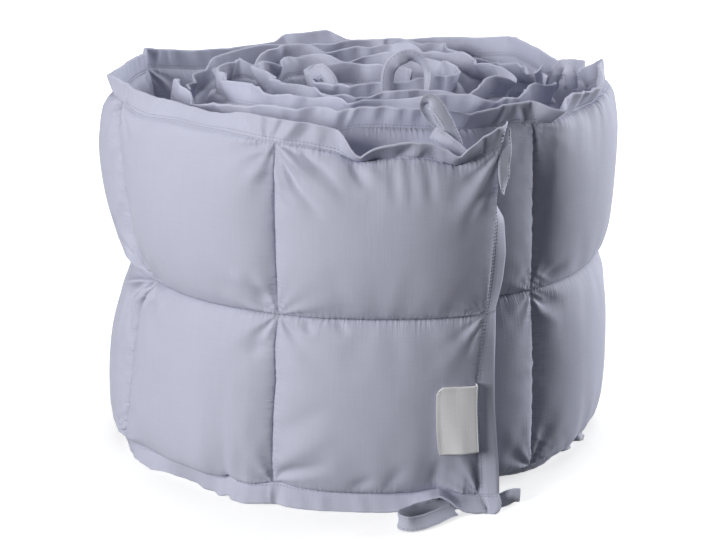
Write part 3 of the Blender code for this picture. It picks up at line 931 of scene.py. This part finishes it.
def node(tree, kind, **inputs):
    """A new node of that kind with those inputs set or, given a socket, linked."""
    made = tree.nodes.new(kind)
    for name, value in inputs.items():
        socket = made.inputs[int(name[1:])] if name[0] == "_" else made.inputs[name.replace("_", " ")]
        if isinstance(value, bpy.types.NodeSocket):
            tree.links.new(value, socket)
        else:
            socket.default_value = value
    return made


def scaled(tree, vector, factors):
    """The vector with each part multiplied by its factor."""
    made = node(tree, "ShaderNodeVectorMath", _0=vector, _1=factors)
    made.operation = "MULTIPLY"
    return made.outputs[0]


def blended(tree, share, low, high):
    """A colour from low to high by share."""
    made = tree.nodes.new("ShaderNodeMix")
    made.data_type = "RGBA"
    tree.links.new(share, made.inputs[0])
    for socket, colour in ((made.inputs[6], low), (made.inputs[7], high)):
        if isinstance(colour, bpy.types.NodeSocket):
            tree.links.new(colour, socket)
        else:
            socket.default_value = (*colour, 1)
    return made.outputs[2]


def maths(tree, operation, a, b=0.0, c=0.0):
    """The result of a Math node on numbers or sockets."""
    made = node(tree, "ShaderNodeMath", _0=a, _1=b, _2=c)
    made.operation = operation
    return made.outputs[0]


SEAM_PUCKER_REACH = 0.0045
# Painted shade in the seams: SEAM_LINE is how far it reaches from a seam, and the colour below is what the cloth's
# colour is darkened towards there.
SEAM_LINE = 0.0011
SEAM_PAINTED_SHADE = (0.17, 0.175, 0.23)


def seam_puckers(tree, uv):
    """The small puckers that the stitches draw up on both sides of each seam, and a mask of painted shade that
    darkens the colour along the seams.

    The distance to the nearest cross seam is found from the UV's first part and the pocket's width, and the
    distance to the three level seams from its second, which runs up the outer face and down the inner one.
    """
    parts = node(tree, "ShaderNodeSeparateXYZ", _0=uv)
    along, up = parts.outputs[0], parts.outputs[1]
    up = maths(tree, "MINIMUM", up, maths(tree, "SUBTRACT", 2 * STRIP_HEIGHT + 0.05, up))
    whole = maths(tree, "MULTIPLY_ADD", along, 1 / POCKET, -(END_FLANGE + FIRST_POCKET) / POCKET + 0.5)
    part = maths(tree, "SUBTRACT", maths(tree, "FRACT", whole), 0.5)
    across = maths(tree, "MULTIPLY", maths(tree, "ABSOLUTE", part), POCKET)
    in_end = maths(tree, "ABSOLUTE", maths(tree, "SUBTRACT", along, END_FLANGE))
    across = maths(tree, "MINIMUM", across, in_end)
    level = None
    for height in (FOOT_FLANGE, MIDDLE_SEAM, TOP_SEAM):
        off = maths(tree, "ABSOLUTE", maths(tree, "SUBTRACT", up, height))
        level = off if level is None else maths(tree, "MINIMUM", level, off)
    above, below = maths(tree, "GREATER_THAN", up, TOP_SEAM), maths(tree, "LESS_THAN", up, FOOT_FLANGE)
    in_flange = maths(tree, "MAXIMUM", above, below)
    in_flange = maths(tree, "MAXIMUM", in_flange, maths(tree, "LESS_THAN", along, END_FLANGE))
    part_kept = maths(tree, "MULTIPLY_ADD", in_flange, -0.8, 1.0)
    total = None
    for distance, stretch in ((across, (60, 420, 1)), (level, (420, 60, 1))):
        waves = node(tree, "ShaderNodeTexNoise", Vector=scaled(tree, uv, stretch), Scale=1.0, Detail=1.5)
        fade = maths(tree, "EXPONENT", maths(tree, "MULTIPLY", distance, -1 / SEAM_PUCKER_REACH))
        height = maths(tree, "MULTIPLY", waves.outputs[0], fade)
        total = height if total is None else maths(tree, "ADD", total, height)
    # Painted shade: a dark line in the colour along the middle seam, and a fainter one along the cross seams and the
    # end seam, kept off the flanges.
    middle = maths(tree, "ABSOLUTE", maths(tree, "SUBTRACT", up, MIDDLE_SEAM))
    line = maths(tree, "MULTIPLY", maths(tree, "EXPONENT", maths(tree, "MULTIPLY", middle, -1 / SEAM_LINE)), 0.75)
    cross = maths(tree, "MULTIPLY", maths(tree, "EXPONENT", maths(tree, "MULTIPLY", across, -1 / SEAM_LINE)), 0.5)
    cross = maths(tree, "MULTIPLY", cross, maths(tree, "SUBTRACT", 1.0, in_flange))
    return maths(tree, "MULTIPLY", total, part_kept), maths(tree, "MAXIMUM", line, cross)


def woven(name, colour, roughness, sheen, thread, seams_in=False):
    """A woven cloth: faint streaks along both threads, soft clouds, and a fine bump on the piece's own UV; with
    seams_in, also puckers beside the seams and painted shade along them.
    """
    material = bpy.data.materials.new(name)
    material.use_nodes = True
    tree = material.node_tree
    shader = tree.nodes["Principled BSDF"]
    uv = tree.nodes.new("ShaderNodeUVMap")
    uv.uv_map = "cloth"
    drawn_up = scaled(tree, uv.outputs[0], (900, 26, 1))
    drawn_along = scaled(tree, uv.outputs[0], (30, 1000, 1))
    streaks_up = node(tree, "ShaderNodeTexNoise", Vector=drawn_up, Scale=1.0, Detail=2.0)
    streaks_along = node(tree, "ShaderNodeTexNoise", Vector=drawn_along, Scale=1.0, Detail=2.0)
    clouds = node(tree, "ShaderNodeTexNoise", Vector=uv.outputs[0], Scale=14.0, Detail=3.0)
    both = node(tree, "ShaderNodeMath", _0=streaks_up.outputs[0], _1=streaks_along.outputs[0])
    both.operation = "ADD"
    three = node(tree, "ShaderNodeMath", _0=both.outputs[0], _1=clouds.outputs[0])
    three.operation = "ADD"
    share = node(tree, "ShaderNodeMapRange", Value=three.outputs[0], From_Min=1.0, From_Max=2.0)
    dark = tuple(0.955 * c for c in colour)
    light = tuple(min(1.04 * c, 1) for c in colour)
    tone = blended(tree, share.outputs[0], dark, light)
    if seams_in:
        puckers, shade = seam_puckers(tree, uv.outputs[0])
        # Painted shade: the cloth's colour is darkened along the seams, where the shade in the seam grooves would
        # fall.
        tone = blended(tree, shade, tone, SEAM_PAINTED_SHADE)
    tree.links.new(tone, shader.inputs["Base Color"])
    threads = scaled(tree, uv.outputs[0], (thread, thread, 1))
    weave = node(tree, "ShaderNodeTexNoise", Vector=threads, Scale=1.0, Detail=1.0)
    height = node(tree, "ShaderNodeMath", _0=weave.outputs[0], _1=both.outputs[0])
    height.operation = "ADD"
    bump = node(tree, "ShaderNodeBump", Strength=0.35, Distance=0.0003, Height=height.outputs[0])
    normal = bump.outputs[0]
    if seams_in:
        drawn = node(tree, "ShaderNodeBump", Strength=0.8, Distance=0.0022, Height=puckers, Normal=normal)
        normal = drawn.outputs[0]
    tree.links.new(normal, shader.inputs["Normal"])
    shader.inputs["Roughness"].default_value = roughness
    shader.inputs["Specular IOR Level"].default_value = 0.25
    shader.inputs["Sheen Weight"].default_value = sheen
    shader.inputs["Sheen Roughness"].default_value = 0.45
    shader.inputs["Sheen Tint"].default_value = (*colour, 1)
    return material


sateen = woven("sateen", SATEEN, SATEEN_ROUGHNESS, 0.05, 2600, seams_in=True)
STRIP_PIECES = (
    {"name": "strip_outer_end", "first": 0, "last": 4, "columns": 78, "rows": 52},
    {"name": "strip_outer_back", "first": 4, "last": 8, "columns": 78, "rows": 52},
    {"name": "strip_inner_turns", "first": 8, "last": 22, "columns": 50, "rows": 30},
)
for row in STRIP_PIECES:
    piece = strip_piece(**row)
    piece.data.materials.append(sateen)
    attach(piece, "root")
    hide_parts("quilted_strip")


# The stitching: lockstitch in a thread a shade darker than the cloth. Two rows hold each flange, one row each
# seam between pockets, drawn down into the wadding.
STITCH_PITCH = 0.0027
STITCH_LENGTH = 0.0020
THREAD_RADIUS = 0.00024
THREAD = (0.345, 0.355, 0.430)


def face_frames(s, z, side):
    """Points of the strip's face with the directions along s and out of the face, from small steps."""
    step = 0.0004
    here = cloth_face(s, z, side)
    along = cloth_face(s + step, z, side) - cloth_face(s - step, z, side)
    up = cloth_face(s, z + step, side) - cloth_face(s, z - step, side)
    out = np.cross(along, up) * -side
    return here, along, up, out / np.linalg.norm(out, axis=-1, keepdims=True)


def stitches(centres, ahead, out):
    """Small closed thread segments: a four-sided body with a point at each end, bowed a little off the cloth."""
    ahead = ahead / np.linalg.norm(ahead, axis=-1, keepdims=True)
    beside = np.cross(ahead, out)
    reach = (-0.5, -0.32, -0.32, -0.32, -0.32, 0.32, 0.32, 0.32, 0.32, 0.5)
    across = (0, 1, 0, -1, 0, 1, 0, -1, 0, 0)
    off = (0, 0, 1, 0, -1, 0, 1, 0, -1, 0)
    lift = (0, 1, 1, 1, 1, 1, 1, 1, 1, 0)
    points = [
        centres + ahead * r * STITCH_LENGTH + (beside * a + out * (o + 0.5 * h)) * THREAD_RADIUS
        for r, a, o, h in zip(reach, across, off, lift)
    ]
    return np.stack(points, axis=1)


def sewn(name, segments):
    """One mesh of all those segments, ten points each."""
    ring = [(i, (i + 1) % 4) for i in range(4)]
    faces = [(0, 1 + j, 1 + i) for i, j in ring] + [(9, 5 + i, 5 + j) for i, j in ring]
    faces += [(1 + i, 1 + j, 5 + j) for i, j in ring] + [(1 + i, 5 + j, 5 + i) for i, j in ring]
    index = np.arange(len(segments))[:, None, None] * 10 + np.array(faces)
    mesh = bpy.data.meshes.new(name)
    mesh.vertices.add(segments.shape[0] * 10)
    mesh.vertices.foreach_set("co", segments.astype(np.float32).ravel())
    mesh.loops.add(index.size)
    mesh.loops.foreach_set("vertex_index", index.astype(np.int32).ravel())
    mesh.polygons.add(index.size // 3)
    mesh.polygons.foreach_set("loop_start", np.arange(0, index.size, 3, dtype=np.int32))
    mesh.update(calc_edges=True)
    mesh.polygons.foreach_set("use_smooth", np.ones(index.size // 3, bool))
    piece = bpy.data.objects.new(name, mesh)
    bpy.context.scene.collection.objects.link(piece)
    return piece


def row_along(z, side, first=0.003, last=STRIP_LENGTH - 0.003):
    """A row of stitches at height z up the cloth."""
    s = np.arange(first, last, STITCH_PITCH)
    here, along, _, out = face_frames(s, np.full_like(s, z), side)
    return stitches(here, along, out)


def row_up(s, side, first, last):
    """A row of stitches up the cloth at length s."""
    z = np.arange(first, last, STITCH_PITCH)
    here, _, up, out = face_frames(np.full_like(z, s), z, side)
    return stitches(here, up, out)


def thread_material():
    """Spun cotton thread: matt, with a fine twist in its bump."""
    material = bpy.data.materials.new("thread")
    material.use_nodes = True
    tree = material.node_tree
    shader = tree.nodes["Principled BSDF"]
    place = tree.nodes.new("ShaderNodeTexCoord")
    twist = node(tree, "ShaderNodeTexNoise", Vector=place.outputs["Object"], Scale=2400.0, Detail=1.0)
    dark, light = tuple(0.85 * c for c in THREAD), tuple(1.15 * c for c in THREAD)
    tree.links.new(blended(tree, twist.outputs[0], dark, light), shader.inputs["Base Color"])
    bump = node(tree, "ShaderNodeBump", Strength=0.4, Distance=0.0002, Height=twist.outputs[0])
    tree.links.new(bump.outputs[0], shader.inputs["Normal"])
    shader.inputs["Roughness"].default_value = 0.8
    return material


thread = thread_material()
TURN_END = seams[8]
flange_rows = [row_along(TOP_SEAM + d, side) for d in (0.0008, 0.0030) for side in (1, -1)]
foot_rows = [row_along(FOOT_FLANGE - d, 1, 0.003, TURN_END) for d in (0.0008, 0.0030)]
cross_rows = [row_up(s, 1, FOOT_FLANGE, TOP_SEAM) for s in seams[1:9]]
end_rows = [row_up(END_FLANGE - d, 1, 0.004, STRIP_HEIGHT - 0.004) for d in (0.0008, 0.0030)]
middle_row = [row_along(MIDDLE_SEAM, 1, END_FLANGE, TURN_END)]
for name, rows in (
    ("stitching_top", flange_rows),
    ("stitching_seams", foot_rows + cross_rows + end_rows + middle_row),
):
    piece = sewn(name, np.concatenate(rows))
    piece.data.materials.append(thread)
    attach(piece, "root")


# The ties: tapes of the same cotton folded to 11 mm and stitched near both edges. They are sewn into the top and
# bottom seams and have gone soft and curled. Each route is along the strip, outward and up, in millimetres, with
# the way the tape faces there and how far it looks up, in degrees.
TAPE_WIDTH = 0.0108
TAPE_THICKNESS = 0.0011
TAPE = (0.455, 0.470, 0.560)
TIES = (
    {
        "name": "tie_end_loop",
        "held": "hung",
        "route": (
            (45, -4, 275, 30, 0),
            (50, -7, 287, 26, 0),
            (55, -9, 296, 22, 0),
            (60, -11, 303, 18, 0),
            (65, -14, 306, 20, 0),
            (67.5, -17, 302, 50, 0),
            (63, -18, 294, 62, 0),
            (56, -17, 285, 66, 0),
            (51, -15, 277, 66, 0),
        ),
    },
    {
        "name": "tie_end_flap",
        "held": "draped",
        "route": (
            (43, 6.5, 269, -34, 6),
            (47.5, 3.5, 273, -36, 6),
            (51.3, 1, 276.2, -38, 6),
            (55.1, -2, 279.3, -38, 5),
            (59.6, -5, 282, -38, 4),
            (63.2, -7.3, 284.6, -38, 3),
        ),
    },
    {
        "name": "tie_end_corner",
        "held": "hung",
        "route": (
            (9, -3.4, 286, -6, 0),
            (10, -1, 279, -6, 0),
            (11.8, 3, 271.5, -4, 0),
            (14, 6, 263, 4, 0),
            (14.8, 8.2, 255, 14, 0),
            (15.6, 9.5, 247.5, 36, 0),
            (16.4, 10.2, 241.5, 64, 0),
        ),
    },
    {
        "name": "tie_foot_front",
        "held": "laid",
        "route": (
            (44, 4, 6.2, 0, 50),
            (55, 9, 6.4, 0, 22),
            (66, 13, 6.5, 4, 6),
            (77, 19, 6.3, 20, 0),
            (86.5, 28, 6.3, 66, 0),
            (88, 36, 6.2, 112, -4),
            (82, 40.5, 5.8, 150, -16),
            (73, 37, 5.4, 164, -30),
            (63, 28.5, 5, 172, -40),
            (54, 20, 4.8, 178, -48),
            (48.5, 16, 4.6, 180, -52),
        ),
    },
    {
        "name": "tie_foot_back",
        "held": "laid",
        "route": (
            (19, 7.2, 4.6, 0, 52),
            (11, 6.8, 5.1, 0, 46),
            (6, 7.4, 6.0, 6, 24),
            (2, 8.6, 6.8, -6, 4),
            (-2, 10.6, 6.6, -14, 0),
        ),
    },
    {
        "name": "tie_core_arch",
        "held": "hung",
        "route": (
            (3438, 2, 284, 10, 0),
            (3439, 4, 298, 8, 0),
            (3437, 5, 308, 2, 0),
            (3432, 6, 314, -30, 0),
            (3423, 6, 316, -60, 0),
            (3415, 7, 311, -80, 0),
            (3411, 8, 302, -96, 0),
            (3412, 9, 291, -104, 0),
            (3414, 10, 282, -100, 0),
        ),
    },
    {
        "name": "tie_core_loop",
        "held": "hung",
        "route": (
            (3480, 3.5, 284, 15, 0),
            (3483, 4.5, 296, 20, 0),
            (3491, 5.5, 302, 24, 0),
            (3500, 5.0, 296, 28, 0),
            (3504, 4.0, 284, 30, 0),
        ),
    },
    {
        "name": "tie_side_loop",
        "held": "hung",
        "route": (
            (2034, 4, 283, -72, 0),
            (2041, 6.5, 292, -76, 0),
            (2049, 10.6, 300, -84, 0),
            (2058, 15.5, 303, -90, 0),
            (2061, 19.5, 297, -92, 0),
            (2048, 20, 283, -84, 0),
        ),
    },
    {
        "name": "tie_side_tail",
        "held": "hung",
        "route": (
            (2043, -5.2, 282, -34, 0),
            (2047, -5.3, 291, -30, 0),
            (2055, -5.4, 299, -40, 0),
        ),
    },
)


def smooth_route(points, steps):
    """Points evenly spaced along a smooth curve through the given ones (Catmull-Rom)."""
    ends = np.concatenate([[2 * points[0] - points[1]], points, [2 * points[-1] - points[-2]]])
    t = np.linspace(0, len(points) - 1, 8 * steps)
    k = np.minimum(t.astype(int), len(points) - 2)
    u = (t - k)[:, None]
    a, b, c, d = (ends[k + i] for i in range(4))
    curve = b + 0.5 * u * (c - a + u * (2 * a - 5 * b + 4 * c - d + u * (3 * (b - c) + d - a)))
    length = np.concatenate([[0], np.cumsum(np.linalg.norm(np.diff(curve[:, :3], axis=0), axis=1))])
    even = np.linspace(0, length[-1], steps)
    return np.stack([np.interp(even, length, curve[:, i]) for i in range(curve.shape[1])], axis=1), length[-1]


def tape_frames(row, steps):
    """The tape's middle line, the direction across it and the one out of its face."""
    route = np.array(row["route"]) * (0.001, 0.001, 0.001, 1, 1)
    place, outward = at_length(route[:, 0])
    points = np.concatenate([place + outward * route[:, 1:2], route[:, 2:]], axis=1)
    points, length = smooth_route(np.concatenate([points, route[:, :1]], axis=1), steps)
    middle, turn, tilt = points[:, :3], np.radians(points[:, 3:4]), np.radians(points[:, 4:5])
    _, outward = at_length(points[:, 5])
    beside = np.stack([-outward[:, 1], outward[:, 0]], axis=1)
    ahead = np.gradient(middle, axis=0)
    level = outward * np.cos(turn) + beside * np.sin(turn)
    face = np.concatenate([level * np.cos(tilt), np.sin(tilt)], axis=1)
    across = np.cross(ahead, face)
    across /= np.linalg.norm(across, axis=1, keepdims=True)
    out = np.cross(across, ahead)
    return middle, across, out / np.linalg.norm(out, axis=1, keepdims=True), ahead, length


def tape_offset(w, along, seed):
    """How far the tape's middle layer lies off its line: cupped across, with small ripples along its edges."""
    cup = -0.0011 * (2 * w / TAPE_WIDTH) ** 2
    waves = 0.0005 * ripples(along, seed, (0.011, 0.019)) * (2 * w / TAPE_WIDTH)
    return cup + waves


def tape_piece(row, number):
    """The tape: a flat loop of points round its section, carried along its route and closed at both ends.

    The section is two faces TAPE_THICKNESS apart with rounded edges and a shallow groove at each row of stitches.
    """
    length = tape_frames(row, 40)[4]
    steps = max(12, round(length / 0.0012))
    middle, across, out, ahead, length = tape_frames(row, steps)
    half = TAPE_WIDTH / 2
    w = half * np.sin(np.linspace(-np.pi / 2, np.pi / 2, 15))
    groove = 0.22 * (bell(np.abs(w), half - 0.0016, 0.0005))
    thick = TAPE_THICKNESS / 2 * (np.sqrt(np.clip(1 - (np.abs(w) / half) ** 8, 0.06, 1)) - groove)
    section = np.concatenate([w, w[::-1]])
    rise = np.concatenate([thick, -thick[::-1]])
    along = np.linspace(0, length, steps)
    off = tape_offset(section[None, :], along[:, None], 40 + number) + rise[None, :]
    loops = middle[:, None] + across[:, None] * section[None, :, None] + out[:, None] * off[..., None]
    uv = np.stack(np.broadcast_arrays(along[:, None] + number, section[None, :] + 0.03 * np.sign(rise)), axis=-1)
    piece = closed_tube(row["name"] + "_tape", loops[:, ::-1], uv[:, ::-1])
    rows = []
    for edge in (-1, 1):
        for side in (-1, 1):
            at = np.arange(0.002, length - 0.001, STITCH_PITCH)
            k = np.interp(at, along, np.arange(steps))
            pick = [
                np.stack([np.interp(k, np.arange(steps), v[:, i]) for i in range(3)], axis=1)
                for v in (middle, across, out, ahead)
            ]
            line = edge * (half - 0.0016)
            rise_there = tape_offset(line, at, 40 + number)[:, None] + side * TAPE_THICKNESS * 0.40
            rows.append(stitches(pick[0] + pick[1] * line + pick[2] * rise_there, pick[3], pick[2] * side))
    return piece, np.concatenate(rows), length


tape = woven("tape", TAPE, 0.7, 0.10, 2200)
tape_stitches = []
for number, row in enumerate(TIES):
    piece, rows, length = tape_piece(row, number)
    piece.data.materials.append(tape)
    tape_stitches.append(rows)
    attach(piece, "root")
    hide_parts(row["name"])
piece = sewn("stitching_ties", np.concatenate(tape_stitches))
piece.data.materials.append(thread)
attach(piece, "root")


# The label: a soft white woven tab, its right edge caught in the end seam and its other edges free. It is left
# bare.
LABEL_WIDTH = 0.0355
LABEL_HEIGHT = 0.0493
LABEL_FOOT = 0.0518
LABEL_THICKNESS = 0.0007
LABEL_WHITE = (1.0, 0.99, 1.0)


def label_piece():
    """A closed thin sheet: straight across from the end seam, lifted off it at once, its upper left corner cut.

    It stands out by the pocket's own rise at the label's two sides, with a straight line between them.
    """
    u = np.linspace(0, 1, 33)
    v = np.linspace(0, 1, 45)
    edge_v = np.concatenate([v, v[::-1]])
    side = np.concatenate([np.ones(45), -np.ones(45)])
    uu, vv = np.meshgrid(u, edge_v, indexing="ij")
    near_left, near_top = np.clip((uu - 0.88) / 0.12, 0, 1), np.clip((vv - 0.88) / 0.12, 0, 1)
    s = END_FLANGE + 0.0005 + uu * (LABEL_WIDTH - 0.0021 * np.exp(-vv / 0.12) - 0.0014 * near_top)
    z = LABEL_FOOT + vv * LABEL_HEIGHT - 0.0031 * uu * (1 - vv) - 0.0028 * near_left * near_top
    here = cloth_face(s, z, 1)
    base = on_strip(s, z, 0.0)
    flat = np.linalg.norm(here - base, axis=-1)
    level = flat.mean(axis=1)
    rise = (level[0] + (level[-1] - level[0]) * uu) * 0.92 + flat * 0.08
    lift = 0.0066 * (1 - np.exp(-uu / 0.015)) - 0.0052 * uu + 0.0012 * uu**3 * (1 - vv) ** 2
    lift = lift + 0.0002 * ripples(uu * 0.03 - vv * 0.01, 61, (0.017, 0.029))
    _, outward = at_length(np.clip(s, END_FLANGE + 0.004, None))
    outward = np.concatenate([outward, np.zeros((*outward.shape[:-1], 1))], axis=-1)
    rim = np.minimum(np.minimum(uu, 1 - uu) * LABEL_WIDTH, np.minimum(vv, 1 - vv) * LABEL_HEIGHT)
    folded = 1 + 0.25 * bell(rim, 0.0016, 0.0014)
    offset = rise + lift + side[None, :] * LABEL_THICKNESS / 2 * folded
    loops = base + outward * offset[..., None]
    uv = np.stack([uu * LABEL_WIDTH, vv * LABEL_HEIGHT + 0.1 * side[None, :]], axis=-1)
    return closed_tube("label_tab", loops, uv)


piece = label_piece()
piece.data.materials.append(woven("woven_label", LABEL_WHITE, 0.85, 0.05, 1500))
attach(piece, "root")
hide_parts("label")
